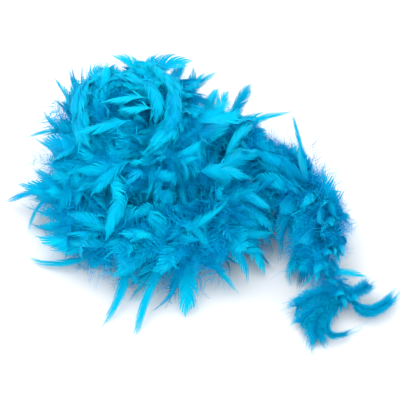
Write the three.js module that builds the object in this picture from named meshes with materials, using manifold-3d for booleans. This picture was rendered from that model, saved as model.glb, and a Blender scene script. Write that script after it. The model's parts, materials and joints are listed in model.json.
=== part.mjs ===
// A feather boa lying in a loose heap: a twisted core cord, down packed round it in bunches,
// long flat feathers lashed to it between the bunches, and a free tail that bends.
// Millimetres, +Z up, standing on z = 0 with the origin under the middle of its box.
import * as THREE from 'three';
import Module from 'manifold-3d';
import { mergeVertices } from 'three/addons/utils/BufferGeometryUtils.js';

const wasm = await Module();
wasm.setup();

// Driving dimensions.
const CORD_D = 4; // two plies twisted together
const CORD_STEPS = 80; // straight steps that the whole cord is drawn in
const CORD_SIDES = 8;
const CORD_PLAY = 0.9; // between the cord and the down round it
const SEAT_GAP = 0.3; // between pieces that touch
const KNOT_D = 9;
const KNOT_LENGTH = 8;
const DOWN_WIDTH = 38; // the packed down beside the cord
const DOWN_HEIGHT_LOW = 56; // and above and below it, where the boa lies on the floor
const DOWN_HEIGHT_HIGH = 36; // and where one turn rides on another
const DOWN_SIDES = 10;
const FLOOR_SPREAD = 1.27; // the down reaches this share of the cord's height, and flattens on the floor
const LASHING_LENGTH = 6; // bare cord between two bunches, where quills are lashed
const TAIL_STEPS = 2; // cord steps in one bunch of the tail
const HEAP_STEPS = 4; // and in one bunch of the heap
const TAIL_BODIES = ['tail_tip', 'tail_mid', 'tail_near'];
const BUNCHES_PER_TAIL_BODY = 2;
const QUILL_D = 1.3;
const VANE_THICKNESS = 1.2;

// The free tail, from its knot to where it joins the heap.
const TAIL_ROUTE = [
  [203, -122, 18], [186, -110, 24], [173, -92, 30], [176, -66, 36],
  [190, -36, 40], [187, 4, 44], [170, 44, 46], [146, 82, 47],
  [112, 116, 48], [70, 144, 48], [26, 162, 46], [-20, 168, 44],
];

// The heap is one winding spiral, counter-clockwise seen from above: a ground turn, a small turn
// inside it, and a turn that rides on both and crosses over its own start. Between two of these
// marks, the centre, height and radius of the turn change smoothly; at is in degrees from +X.
const COIL_MARKS = [
  { at: 108, x: -62, y: 62, z: 38, r: 102 },
  { at: 310, x: -62, y: 60, z: 38, r: 100 },
  { at: 440, x: -62, y: 56, z: 38, r: 42 },
  { at: 600, x: -64, y: 58, z: 40, r: 41 },
  { at: 760, x: -84, y: 92, z: 96, r: 61 },
  { at: 960, x: -86, y: 94, z: 98, r: 61 },
  { at: 1120, x: -86, y: 94, z: 140, r: 60 },
  { at: 1260, x: -86, y: 94, z: 141, r: 53 },
];
const COIL_STEP = 18;

// Long feathers that stand out of the down. gap counts the lashings from the tail's knot, tip is
// where the feather ends, width is its widest, and lift raises the bend of its shaft.
const FEATHERS = [
  { name: 'west_long', gap: 10, tip: [-272, 54, 14], width: 18, lift: 22 },
  { name: 'west_fork', gap: 10, tip: [-236, 6, 8], width: 9, lift: 0 },
  { name: 'west_low', gap: 10, tip: [-224, 82, 50], width: 12, lift: 14 },
  { name: 'west_strip', gap: 9, tip: [-241, 123, 62], width: 12, lift: 10 },
  { name: 'northwest_wedge', gap: 9, tip: [-181, 178, 150], width: 24, lift: 0 },
  { name: 'northwest_spoon', gap: 9, tip: [-206, 164, 124], width: 14, lift: 0 },
  { name: 'southwest_broad', gap: 11, tip: [-218, -26, 36], width: 24, lift: 24 },
  { name: 'southwest_curl', gap: 11, tip: [-234, -52, 6], width: 14, lift: 0 },
  { name: 'south_strip_west', gap: 11, tip: [-140, -148, 5], width: 13, lift: 10 },
  { name: 'south_strip', gap: 12, tip: [-88, -174, 5], width: 14, lift: 24 },
  { name: 'south_blunt', gap: 12, tip: [-11, -140, 8], width: 20, lift: 4 },
  { name: 'southeast_point', gap: 12, tip: [52, -104, 8], width: 16, lift: 20 },
  { name: 'east_low', gap: 13, tip: [104, 14, 14], width: 18, lift: 14 },
  { name: 'east_high', gap: 13, tip: [92, -12, 74], width: 16, lift: 20 },
  { name: 'north_split', gap: 8, tip: [-8, 196, 128], width: 16, lift: 0 },
  { name: 'north_low', gap: 8, tip: [-70, 211, 12], width: 20, lift: 14 },
  { name: 'northeast_blunt', gap: 7, tip: [63, 190, 100], width: 14, lift: 0 },
  { name: 'northeast_point', gap: 7, tip: [118, 168, 98], width: 18, lift: 0 },
  { name: 'northeast_low', gap: 7, tip: [70, 207, 14], width: 16, lift: 14 },
  { name: 'crown_wide', gap: 22, tip: [-17, 190, 158], width: 26, lift: 8 },
  { name: 'crown_back', gap: 22, tip: [-122, 186, 168], width: 18, lift: 8 },
  { name: 'crown_front', gap: 20, tip: [-104, -14, 128], width: 24, lift: 20 },
  { name: 'crown_east', gap: 21, tip: [56, 84, 150], width: 24, lift: 14 },
  { name: 'tail_spike', gap: 5, tip: [133, 124, 112], width: 9, lift: 0 },
  { name: 'tail_vane', gap: 3, tip: [130, -70, 14], width: 22, lift: 6 },
  { name: 'tail_side', gap: 3, tip: [238, -30, 34], width: 14, lift: 14 },
  { name: 'tail_tip_side', gap: 1, tip: [234, -84, 16], width: 14, lift: 8 },
];

// The two downy end plumes, tied in at the tail's knot: the bend of the shaft and its tip.
const PLUME_THICKNESS = 9;
const PLUMES = [
  { name: 'east', bend: [238, -178, 10], tip: [271, -120, 12], width: 22 },
  { name: 'south', bend: [176, -142, 14], tip: [178, -211, 8], width: 26 },
];

const cordRadius = CORD_D / 2;
const quillStagger = (LASHING_LENGTH - 2 * QUILL_D) / 2; // along the cord, from quill to quill
const up = new THREE.Vector3(0, 0, 1);

function smoothRamp(value, [from, to]) {
  return THREE.MathUtils.smoothstep(value, from, to);
}

/** The heap's spiral at an angle, between the two marks that it lies between. */
function coilPoint(angle) {
  const next = Math.max(1, COIL_MARKS.findIndex((mark) => mark.at >= angle));
  const [before, after] = [COIL_MARKS[next - 1], COIL_MARKS[next]];
  const share = smoothRamp(angle, [before.at, after.at]);
  const blend = (key) => THREE.MathUtils.lerp(before[key], after[key], share);
  const turn = THREE.MathUtils.degToRad(angle);
  const x = blend('x') + blend('r') * Math.cos(turn);
  const y = blend('y') + blend('r') * Math.sin(turn);
  return new THREE.Vector3(x, y, blend('z'));
}

/** The centre line of the whole boa, cut into straight steps of one length. */
function makeStations() {
  const points = TAIL_ROUTE.map((place) => new THREE.Vector3(...place));
  const coilEnd = COIL_MARKS[COIL_MARKS.length - 1].at;
  for (let angle = COIL_MARKS[0].at; angle <= coilEnd; angle += COIL_STEP) {
    points.push(coilPoint(angle));
  }
  const route = new THREE.CatmullRomCurve3(points, false, 'centripetal');
  route.arcLengthDivisions = 4000;
  return { length: route.getLength(), stations: route.getSpacedPoints(CORD_STEPS) };
}

const { length: cordLength, stations } = makeStations();
const stepLength = cordLength / CORD_STEPS;

/** The point on the cord's straight steps at a distance from the tail's knot. */
function pointAt(distance) {
  const step = THREE.MathUtils.clamp(distance / stepLength, 0, CORD_STEPS);
  const index = Math.min(Math.floor(step), CORD_STEPS - 1);
  return stations[index].clone().lerp(stations[index + 1], step - index);
}

/** The cord's direction there, and the two directions across it. */
function frameAt(distance) {
  const reach = stepLength / 4;
  const along = pointAt(distance + reach).sub(pointAt(distance - reach)).normalize();
  const side = along.clone().cross(up).normalize();
  const over = side.clone().cross(along);
  return { along, side, over };
}

/** A stretch of the cord as a curve that an extrusion can follow. */
class Stretch extends THREE.Curve {
  constructor(from, to) {
    super();
    this.from = from;
    this.to = to;
  }

  getPoint(t, target = new THREE.Vector3()) {
    return target.copy(pointAt(THREE.MathUtils.lerp(this.from, this.to, t)));
  }
}

function toSolid(geometry) {
  const bare = geometry.clone();
  bare.deleteAttribute('normal');
  bare.deleteAttribute('uv');
  const merged = mergeVertices(bare, 1e-4);
  const vertProperties = new Float32Array(merged.attributes.position.array);
  const triVerts = new Uint32Array(merged.index.array);
  return new wasm.Manifold(new wasm.Mesh({ numProp: 3, vertProperties, triVerts }));
}

function toGeometry(solid) {
  const mesh = solid.getMesh();
  const geometry = new THREE.BufferGeometry();
  geometry.setAttribute('position', new THREE.BufferAttribute(mesh.vertProperties, 3));
  geometry.setIndex(new THREE.BufferAttribute(mesh.triVerts, 1));
  return geometry;
}

/** Moves every vertex of a geometry with the function place. */
function reshape(geometry, place) {
  const position = geometry.attributes.position;
  const vertex = new THREE.Vector3();
  for (let i = 0; i < position.count; i += 1) {
    const moved = place(vertex.fromBufferAttribute(position, i));
    position.setXYZ(i, moved.x, moved.y, moved.z);
  }
  return geometry;
}

/** A ball round a point of the cord, so that the next stretch can turn about it. */
function ballAt(distance) {
  const ball = new THREE.SphereGeometry(cordRadius, CORD_SIDES, 6);
  return ball.translate(...pointAt(distance).toArray());
}

/** One stretch of the core cord. A stretch that ends at a bend has a ball there. */
function makeCord(from, to, ballEnd) {
  const corners = [];
  for (let i = 0; i < CORD_SIDES; i += 1) {
    const turn = ((i + 0.5) / CORD_SIDES) * 2 * Math.PI;
    corners.push(new THREE.Vector2(cordRadius * Math.cos(turn), cordRadius * Math.sin(turn)));
  }
  const steps = Math.max(2, Math.round((to - from) / stepLength));
  const section = new THREE.Shape(corners);
  const extrudePath = new Stretch(from, to);
  const tube = new THREE.ExtrudeGeometry(section, { steps, extrudePath });
  if (!ballEnd) {
    return tube;
  }
  return toGeometry(toSolid(tube).add(toSolid(ballAt(to))));
}

/** How far the packed down reaches above or below the cord at a height over the floor. */
function downReach(height, below) {
  const high = smoothRamp(height, [48, 76]);
  const low = below ? height * FLOOR_SPREAD : DOWN_HEIGHT_LOW / 2;
  return THREE.MathUtils.lerp(low, DOWN_HEIGHT_HIGH / 2, high);
}

/** One bunch of down: a plump sleeve round the cord, narrow at both ends, flat on the floor. */
function makeDown(from, to) {
  const channel = cordRadius + CORD_PLAY;
  const start = from + LASHING_LENGTH / 2;
  const end = to - LASHING_LENGTH / 2;
  const steps = Math.max(TAIL_STEPS, Math.round((to - from) / stepLength));
  const rings = [{ at: start, plump: 0.34 }, { at: start + 9, plump: 0.72 }];
  for (let i = 1; i < steps; i += 1) {
    rings.push({ at: from + i * stepLength, plump: 1 });
  }
  rings.push({ at: end - 9, plump: 0.72 }, { at: end, plump: 0.34 });
  const halfWidth = DOWN_WIDTH / 2;
  const outer = rings.map(({ at, plump }) => new THREE.Vector2(halfWidth * plump, at));
  const inner = rings.map(({ at }) => new THREE.Vector2(channel, at)).reverse();
  const sleeve = new THREE.LatheGeometry([...outer, ...inner, outer[0]], DOWN_SIDES);
  return reshape(sleeve, (vertex) => {
    const centre = pointAt(vertex.y);
    const { side, over } = frameAt(vertex.y);
    const isOuter = Math.hypot(vertex.x, vertex.z) > channel + 1;
    const stretch = isOuter ? downReach(centre.z, vertex.z < 0) / halfWidth : 1;
    const moved = centre.clone().addScaledVector(side, vertex.x);
    moved.addScaledVector(over, vertex.z * stretch);
    if (isOuter) {
      moved.z = Math.max(moved.z, 0);
    }
    return moved;
  });
}

/** The knot that closes an end of the cord, beyond the cord's last point. */
function makeKnot(distance, outward) {
  const { along } = frameAt(distance);
  const direction = along.clone().multiplyScalar(outward);
  const knot = new THREE.SphereGeometry(KNOT_D / 2, 10, 7);
  knot.scale(1, KNOT_LENGTH / KNOT_D, 1);
  knot.applyQuaternion(new THREE.Quaternion().setFromUnitVectors(new THREE.Vector3(0, 1, 0), direction));
  const centre = pointAt(distance).addScaledVector(direction, KNOT_LENGTH / 2 + SEAT_GAP);
  return knot.translate(...centre.toArray());
}

/** How wide a feather is at a share of its length: a thin quill, a broad vane, a narrow tip. */
function vaneWidth(share, width) {
  const swell = Math.sin(Math.PI * THREE.MathUtils.clamp((share - 0.22) / 0.82, 0, 1)) ** 0.7;
  const tip = 0.06 * width * smoothRamp(share, [0.5, 1]);
  return Math.max(QUILL_D, width * swell, tip);
}

/** A feather's closed blade along its shaft, its flat side as near upward as the shaft lets it. */
function makeBlade(shaft, width, thickness) {
  const blade = new THREE.CylinderGeometry(0.5, 0.5, 1, 4, 9).translate(0, 0.5, 0);
  return reshape(blade, (vertex) => {
    const share = vertex.y;
    const tangent = shaft.getTangent(share);
    const across = tangent.clone().cross(up).normalize();
    const face = across.clone().cross(tangent);
    const moved = shaft.getPoint(share);
    moved.addScaledVector(across, vertex.x * vaneWidth(share, width));
    return moved.addScaledVector(face, vertex.z * thickness);
  });
}

/** A long feather: its quill leaves the cord squarely, then the shaft bends to the tip. */
function makeFeather({ distance, tip, width, lift, stagger }) {
  const { along } = frameAt(distance);
  const end = new THREE.Vector3(...tip);
  const seat = pointAt(distance + stagger);
  const away = end.clone().sub(seat);
  away.addScaledVector(along, -away.dot(along)).normalize();
  const root = seat.addScaledVector(away, cordRadius + SEAT_GAP);
  const bend = root.clone().addScaledVector(away, root.distanceTo(end) * 0.45);
  bend.addScaledVector(up, lift);
  return makeBlade(new THREE.QuadraticBezierCurve3(root, bend, end), width, VANE_THICKNESS);
}

/** A downy plume that starts on the tail's knot. */
function makePlume({ bend, tip, width }) {
  const { along } = frameAt(0);
  const middle = new THREE.Vector3(...bend);
  const root = pointAt(0).addScaledVector(along, -KNOT_LENGTH / 2 - SEAT_GAP);
  const away = middle.clone().sub(root).normalize();
  const lengthwise = away.dot(along) / (KNOT_LENGTH / 2);
  const crosswise = Math.sqrt(1 - away.dot(along) ** 2) / (KNOT_D / 2);
  root.addScaledVector(away, 1 / Math.hypot(lengthwise, crosswise) + SEAT_GAP);
  const shaft = new THREE.QuadraticBezierCurve3(root, middle, new THREE.Vector3(...tip));
  return makeBlade(shaft, width, PLUME_THICKNESS);
}

const colours = {
  cord: new THREE.Color(0.02, 0.3, 0.5),
  down: new THREE.Color(0.0, 0.36, 0.66),
  feather: new THREE.Color(0.0, 0.47, 0.78),
};
const boa = new THREE.Group();

function addPiece(name, geometry, color, roughness) {
  const material = new THREE.MeshStandardMaterial({ color, roughness, metalness: 0 });
  const mesh = new THREE.Mesh(geometry, material);
  mesh.name = name;
  boa.add(mesh);
}

// Bunches of down, from the tail's knot to the inner end, with a lashing between each two.
const bunches = [];
for (const body of TAIL_BODIES) {
  for (let i = 1; i <= BUNCHES_PER_TAIL_BODY; i += 1) {
    bunches.push({ name: `down_${body}_${i}`, steps: TAIL_STEPS });
  }
}
const tailSteps = bunches.length * TAIL_STEPS;
const heapBunches = (CORD_STEPS - tailSteps) / HEAP_STEPS;
for (let i = 1; i <= heapBunches; i += 1) {
  bunches.push({ name: `down_heap_${String(i).padStart(2, '0')}`, steps: HEAP_STEPS });
}
const lashings = [0];
for (const { name, steps } of bunches) {
  const from = lashings[lashings.length - 1];
  const to = from + steps * stepLength;
  addPiece(name, makeDown(from, to), colours.down, 0.95);
  lashings.push(to);
}

// The core cord, parted where the tail bends.
const bends = TAIL_BODIES.map((body, i) => (i + 1) * BUNCHES_PER_TAIL_BODY * TAIL_STEPS * stepLength);
const cordEnds = [0, ...bends, cordLength];
['cord_tail_tip', 'cord_tail_mid', 'cord_tail_near', 'cord_heap'].forEach((name, i) => {
  const from = cordEnds[i] + (i > 0 ? cordRadius + SEAT_GAP : 0);
  addPiece(name, makeCord(from, cordEnds[i + 1], i < bends.length), colours.cord, 0.8);
});
addPiece('knot_tail', makeKnot(0, -1), colours.cord, 0.8);
addPiece('knot_inner', makeKnot(cordLength, 1), colours.cord, 0.8);

// The long feathers. Those of one lashing lie side by side, in the order that their tips lean.
lashings.forEach((distance, gap) => {
  const { along } = frameAt(distance);
  const lean = ({ tip }) => new THREE.Vector3(...tip).dot(along);
  const group = FEATHERS.filter((feather) => feather.gap === gap);
  group.sort((one, other) => lean(one) - lean(other));
  group.forEach((feather, i) => {
    const stagger = (i - (group.length - 1) / 2) * quillStagger;
    const blade = makeFeather({ ...feather, distance, stagger });
    addPiece(`feather_${feather.name}`, blade, colours.feather, 0.6);
  });
});
for (const plume of PLUMES) {
  addPiece(`plume_${plume.name}`, makePlume(plume), colours.down, 0.9);
}

export default boa;
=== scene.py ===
# %% [markdown]
# # A feather boa in a loose heap
# A chandelle boa is a twisted string with hundreds of turkey feathers lashed to it. Each
# feather is fluffy near its quill and flat towards its tip. The packed model holds the cord,
# the longest feathers and the space of the down; this script makes the looks round them.

# %% Load the packed boa
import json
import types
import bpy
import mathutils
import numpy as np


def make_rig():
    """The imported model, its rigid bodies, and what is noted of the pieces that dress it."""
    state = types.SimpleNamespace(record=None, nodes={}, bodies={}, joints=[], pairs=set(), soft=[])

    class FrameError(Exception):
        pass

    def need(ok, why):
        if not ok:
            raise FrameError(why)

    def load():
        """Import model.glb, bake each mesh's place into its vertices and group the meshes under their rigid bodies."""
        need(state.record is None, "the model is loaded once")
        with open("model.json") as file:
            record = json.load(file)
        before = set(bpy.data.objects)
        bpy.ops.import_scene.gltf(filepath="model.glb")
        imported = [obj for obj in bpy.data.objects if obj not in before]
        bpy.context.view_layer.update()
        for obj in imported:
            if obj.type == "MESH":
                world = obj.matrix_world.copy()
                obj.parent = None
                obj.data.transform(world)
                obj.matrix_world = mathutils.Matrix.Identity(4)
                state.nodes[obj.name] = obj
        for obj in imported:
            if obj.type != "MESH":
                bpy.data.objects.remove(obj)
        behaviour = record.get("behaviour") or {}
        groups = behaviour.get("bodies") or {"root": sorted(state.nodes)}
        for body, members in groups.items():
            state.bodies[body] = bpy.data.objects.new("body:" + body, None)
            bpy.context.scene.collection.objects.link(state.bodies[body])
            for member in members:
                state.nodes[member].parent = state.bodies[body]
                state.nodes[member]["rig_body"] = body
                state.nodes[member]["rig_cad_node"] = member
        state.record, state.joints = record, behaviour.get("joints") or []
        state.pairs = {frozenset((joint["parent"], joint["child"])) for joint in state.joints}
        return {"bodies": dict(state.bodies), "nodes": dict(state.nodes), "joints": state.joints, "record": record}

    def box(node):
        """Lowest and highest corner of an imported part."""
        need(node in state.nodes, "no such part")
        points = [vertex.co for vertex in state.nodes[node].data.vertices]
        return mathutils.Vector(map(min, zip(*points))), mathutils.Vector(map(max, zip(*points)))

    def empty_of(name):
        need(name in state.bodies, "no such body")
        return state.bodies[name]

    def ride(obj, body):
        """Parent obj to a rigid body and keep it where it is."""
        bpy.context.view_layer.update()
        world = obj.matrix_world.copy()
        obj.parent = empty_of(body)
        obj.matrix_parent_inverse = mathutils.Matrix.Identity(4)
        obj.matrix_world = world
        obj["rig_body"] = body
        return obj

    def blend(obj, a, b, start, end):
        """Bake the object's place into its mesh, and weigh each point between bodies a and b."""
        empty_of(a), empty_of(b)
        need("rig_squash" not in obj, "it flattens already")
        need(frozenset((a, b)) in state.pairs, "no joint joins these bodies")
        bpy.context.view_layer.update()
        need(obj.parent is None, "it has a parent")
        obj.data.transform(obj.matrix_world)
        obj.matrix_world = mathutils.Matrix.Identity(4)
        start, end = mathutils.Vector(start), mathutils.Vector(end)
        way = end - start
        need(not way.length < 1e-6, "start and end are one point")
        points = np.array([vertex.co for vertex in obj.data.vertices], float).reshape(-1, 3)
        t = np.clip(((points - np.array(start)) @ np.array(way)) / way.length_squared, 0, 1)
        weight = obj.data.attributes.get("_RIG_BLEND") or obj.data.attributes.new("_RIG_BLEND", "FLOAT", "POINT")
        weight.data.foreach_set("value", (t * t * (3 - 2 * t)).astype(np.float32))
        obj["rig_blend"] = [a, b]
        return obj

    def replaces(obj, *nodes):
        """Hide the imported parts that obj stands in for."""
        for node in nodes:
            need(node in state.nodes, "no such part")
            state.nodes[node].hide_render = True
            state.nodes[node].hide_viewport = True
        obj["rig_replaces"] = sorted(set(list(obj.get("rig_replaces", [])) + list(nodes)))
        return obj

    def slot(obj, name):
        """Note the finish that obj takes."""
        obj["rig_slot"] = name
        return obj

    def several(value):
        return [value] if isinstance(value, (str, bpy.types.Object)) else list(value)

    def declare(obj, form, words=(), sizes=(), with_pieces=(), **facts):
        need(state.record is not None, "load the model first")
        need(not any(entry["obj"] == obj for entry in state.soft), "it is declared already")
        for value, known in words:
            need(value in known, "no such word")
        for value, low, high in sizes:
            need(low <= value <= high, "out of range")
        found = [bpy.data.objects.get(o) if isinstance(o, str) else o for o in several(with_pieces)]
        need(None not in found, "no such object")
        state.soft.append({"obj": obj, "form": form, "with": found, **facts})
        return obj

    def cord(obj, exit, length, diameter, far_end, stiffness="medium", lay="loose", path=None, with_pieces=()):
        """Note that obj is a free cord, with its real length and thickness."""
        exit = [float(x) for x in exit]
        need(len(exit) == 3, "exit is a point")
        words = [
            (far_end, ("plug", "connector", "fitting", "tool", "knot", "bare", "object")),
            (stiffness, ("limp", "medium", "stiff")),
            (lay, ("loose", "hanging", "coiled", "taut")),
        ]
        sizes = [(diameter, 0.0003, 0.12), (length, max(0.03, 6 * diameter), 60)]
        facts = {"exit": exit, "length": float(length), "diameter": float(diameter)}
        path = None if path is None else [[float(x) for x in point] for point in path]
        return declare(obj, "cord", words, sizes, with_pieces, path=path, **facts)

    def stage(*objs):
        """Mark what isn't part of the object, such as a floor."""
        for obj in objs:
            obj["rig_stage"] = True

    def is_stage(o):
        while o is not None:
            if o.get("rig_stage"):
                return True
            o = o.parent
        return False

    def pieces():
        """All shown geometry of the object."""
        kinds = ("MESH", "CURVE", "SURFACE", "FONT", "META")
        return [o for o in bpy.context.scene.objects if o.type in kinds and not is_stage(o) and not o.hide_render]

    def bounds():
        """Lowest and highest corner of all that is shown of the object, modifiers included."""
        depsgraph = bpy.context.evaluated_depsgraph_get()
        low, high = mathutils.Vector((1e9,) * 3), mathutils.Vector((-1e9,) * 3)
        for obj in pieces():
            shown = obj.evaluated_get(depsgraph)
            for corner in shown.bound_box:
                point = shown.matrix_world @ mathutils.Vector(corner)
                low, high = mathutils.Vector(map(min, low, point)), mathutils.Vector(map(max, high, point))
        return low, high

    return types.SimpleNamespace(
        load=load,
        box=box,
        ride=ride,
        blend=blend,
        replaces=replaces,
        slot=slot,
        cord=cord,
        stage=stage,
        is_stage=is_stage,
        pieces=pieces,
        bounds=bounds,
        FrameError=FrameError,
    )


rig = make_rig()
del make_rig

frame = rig.load()
cad_low, cad_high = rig.bounds()

import json
import math

import bmesh
import bpy
import numpy as np
from mathutils import Vector, geometry

MM = 0.001
rng = np.random.default_rng(21)
print("solid model from", tuple(cad_low), "to", tuple(cad_high))

# %% [markdown]
# ## Camera
# The boa lies on a table and is looked down on at about fifty degrees, with a long lens, so
# that the far side of the heap is hardly smaller than the near side.

# %% Camera
VIEW_ELEVATION = 50.0
VIEW_WIDTH = 0.56
VIEW_DISTANCE = 6.0
VIEW_TARGET = Vector((0.0, 0.067, 0.0))
SENSOR_MM = 36.0

elevation = math.radians(VIEW_ELEVATION)
backwards = Vector((0.0, -math.cos(elevation), math.sin(elevation)))
camera_data = bpy.data.cameras.new("camera")
camera_data.sensor_width = SENSOR_MM
camera_data.lens = SENSOR_MM * VIEW_DISTANCE / VIEW_WIDTH
camera = bpy.data.objects.new("camera", camera_data)
camera.location = VIEW_TARGET + backwards * VIEW_DISTANCE
camera.rotation_euler = backwards.to_track_quat("Z", "Y").to_euler()
bpy.context.scene.collection.objects.link(camera)
bpy.context.scene.camera = camera
bpy.context.scene.view_settings.view_transform = "Standard"
print("lens", round(camera_data.lens), "mm")

# %% [markdown]
# ## Floor
# The boa lies on a plain white sweep, which is one big flat face.

# %% Floor
FLOOR_HALF = 6.0
FLOOR_WHITE = (0.9, 0.9, 0.9, 1.0)
FLOOR_ROUGHNESS = 0.9


def link(piece):
    bpy.context.scene.collection.objects.link(piece)
    return piece


white_sweep = bpy.data.materials.new("white_sweep")
white_sweep.use_nodes = True
shader = white_sweep.node_tree.nodes["Principled BSDF"].inputs
shader["Base Color"].default_value = FLOOR_WHITE
shader["Roughness"].default_value = FLOOR_ROUGHNESS

floor_mesh = bmesh.new()
bmesh.ops.create_grid(floor_mesh, x_segments=1, y_segments=1, size=FLOOR_HALF)
floor = link(bpy.data.objects.new("floor", bpy.data.meshes.new("floor")))
floor_mesh.to_mesh(floor.data)
floor_mesh.free()
floor.data.materials.append(white_sweep)
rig.stage(floor)
print("floor", 2 * FLOOR_HALF, "m wide")

# %% [markdown]
# ## Light
# A bright, even sky shows dyed feathers best: the light comes through between the vanes, and
# only the deep gaps go dark. A wide lamp from above and behind gives the soft shadow at the
# near edge, and a weaker one in front lifts the shade.

# %% Light
SKY_WHITE = (1.0, 1.0, 1.0, 1.0)
SKY_STRENGTH = 1.3
# each lamp: its place and width, in metres, and its watts
LAMPS = {
    "lamp_above": ((-0.5, 0.6, 1.6), 1.2, 7.0),
    "lamp_front": ((0.6, -1.6, 1.4), 1.6, 3.0),
}

world = bpy.data.worlds.new("studio")
world.use_nodes = True
sky = world.node_tree.nodes["Background"].inputs
sky["Color"].default_value = SKY_WHITE
sky["Strength"].default_value = SKY_STRENGTH
bpy.context.scene.world = world

for name, (place, width, watts) in LAMPS.items():
    lamp_data = bpy.data.lights.new(name, "AREA")
    lamp_data.shape = "SQUARE"
    lamp_data.size = width
    lamp_data.energy = watts
    lamp = link(bpy.data.objects.new(name, lamp_data))
    lamp.location = place
    lamp.rotation_euler = (Vector(place) - VIEW_TARGET).to_track_quat("Z", "Y").to_euler()
print(len(LAMPS), "lamps")

# %% [markdown]
# ## The line of the cord
# Everything hangs on one curve: the free tail by listed points, then the heap as a
# winding spiral. It repeats the solid model's line, so that each feather starts on the cord.

# %% The line of the cord
TAIL_ROUTE = [
    (0.203, -0.122, 0.018), (0.186, -0.110, 0.024), (0.173, -0.092, 0.030),
    (0.176, -0.066, 0.036), (0.190, -0.036, 0.040), (0.187, 0.004, 0.044),
    (0.170, 0.044, 0.046), (0.146, 0.082, 0.047), (0.112, 0.116, 0.048),
    (0.070, 0.144, 0.048), (0.026, 0.162, 0.046), (-0.020, 0.168, 0.044),
]
# degrees from +X, then the centre, height and radius of the turn there, in metres
COIL_MARKS = [
    (108, -0.062, 0.062, 0.038, 0.102), (310, -0.062, 0.060, 0.038, 0.100),
    (440, -0.062, 0.056, 0.038, 0.042), (600, -0.064, 0.058, 0.040, 0.041),
    (760, -0.084, 0.092, 0.096, 0.061), (960, -0.086, 0.094, 0.098, 0.061),
    (1120, -0.086, 0.094, 0.140, 0.060), (1260, -0.086, 0.094, 0.141, 0.053),
]
COIL_STEP = 18
SPAN_POINTS = 13
CORD_D = 0.004


def coil_point(angle):
    """The heap's spiral at an angle, between the two marks that it lies between."""
    after = next(i for i, mark in enumerate(COIL_MARKS) if i > 0 and mark[0] >= angle)
    low, high = COIL_MARKS[after - 1], COIL_MARKS[after]
    share = (angle - low[0]) / (high[0] - low[0])
    share = share * share * (3 - 2 * share)
    x, y, z, r = [a + (b - a) * share for a, b in zip(low[1:], high[1:])]
    turn = math.radians(angle)
    return Vector((x + r * math.cos(turn), y + r * math.sin(turn), z))


marks = [Vector(place) for place in TAIL_ROUTE]
marks += [coil_point(a) for a in range(COIL_MARKS[0][0], COIL_MARKS[-1][0] + 1, COIL_STEP)]
line = []
for i in range(len(marks) - 1):
    before, after = marks[max(i - 1, 0)], marks[min(i + 2, len(marks) - 1)]
    span = (marks[i + 1] - marks[i]).length
    lead = (marks[i + 1] - before).normalized() * span / 3
    trail = (after - marks[i]).normalized() * span / 3
    line += geometry.interpolate_bezier(
        marks[i], marks[i] + lead, marks[i + 1] - trail, marks[i + 1], SPAN_POINTS
    )[:-1]
line = np.array([*line, marks[-1]])
walked = np.concatenate([[0], np.cumsum(np.linalg.norm(np.diff(line, axis=0), axis=1))])
cord_end = walked[-1]
print("cord length", round(cord_end, 4), "m")

# %% [markdown]
# ## Points and directions on the cord
# A feather has to know where its quill is lashed and which way is out. Both are read off the
# line, at any distance from the tail's knot.

# %% Points and directions on the cord
# metres to either side that the cord's direction is taken over
HALF_STEP = 0.006
TINY = 1e-9
UP = (0.0, 0.0, 1.0)


def on_cord(distance):
    """Points of the cord at distances from the tail's knot, one row each."""
    distance = np.atleast_1d(distance)
    return np.stack([np.interp(distance, walked, line[:, k]) for k in range(3)], axis=1)


def unit(rows):
    """Directions, each made one unit long."""
    return rows / np.maximum(np.linalg.norm(rows, axis=-1, keepdims=True), TINY)


def cord_frame(distance):
    """The cord's direction at distances, and the directions beside and over it."""
    along = unit(on_cord(distance + HALF_STEP) - on_cord(distance - HALF_STEP))
    beside = unit(np.cross(along, UP))
    return along, beside, np.cross(beside, along)


print("the cord ends at", on_cord([0.0, cord_end]).round(3).tolist())

# %% [markdown]
# ## Which stretch rides on which body
# The tail bends at the first three twentieths of the cord. What is lashed within half that
# spacing of a bend follows both of its neighbours and turns smoothly between them; the rest
# rides on one body.

# %% Which stretch rides on which body
BEND_SPACING = cord_end / 20
REACH = BEND_SPACING / 2
# metres to either side of a bend that a piece turns over
BEND_HALF = 0.03
HEAP_FROM = 7 * REACH
HEAP_STRETCHES = 8

# name: (from, to, bodies, solid nodes that its down stands for)
STRETCHES = {
    "tip": (0.0, REACH, ("tail_tip",), ["down_tail_tip_1"]),
    "tip_bend": (REACH, 3 * REACH, ("tail_mid", "tail_tip"), ["down_tail_tip_2", "down_tail_mid_1"]),
    "mid_bend": (3 * REACH, 5 * REACH, ("tail_near", "tail_mid"), ["down_tail_mid_2", "down_tail_near_1"]),
    "near_bend": (5 * REACH, HEAP_FROM, ("heap", "tail_near"), ["down_tail_near_2", "down_heap_01"]),
}
heap_step = (cord_end - HEAP_FROM) / HEAP_STRETCHES
for i in range(HEAP_STRETCHES):
    nodes = [f"down_heap_{n:02d}" for n in range(2 + 2 * i, 4 + 2 * i)]
    begin = HEAP_FROM + i * heap_step
    STRETCHES[f"heap_{i + 1}"] = (begin, begin + heap_step, ("heap",), nodes)


def attach(piece, stretch):
    """Rides or bends a piece with the bodies of its stretch."""
    begin, finish, bodies, _ = STRETCHES[stretch]
    if len(bodies) == 1:
        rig.ride(piece, bodies[0])
        return
    bend = (begin + finish) / 2
    tip_side, heap_side = on_cord([bend - BEND_HALF, bend + BEND_HALF])
    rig.blend(piece, bodies[0], bodies[1], start=tuple(heap_side), end=tuple(tip_side))


print(len(STRETCHES), "stretches, those of the heap", round(heap_step, 3), "m long")

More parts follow.
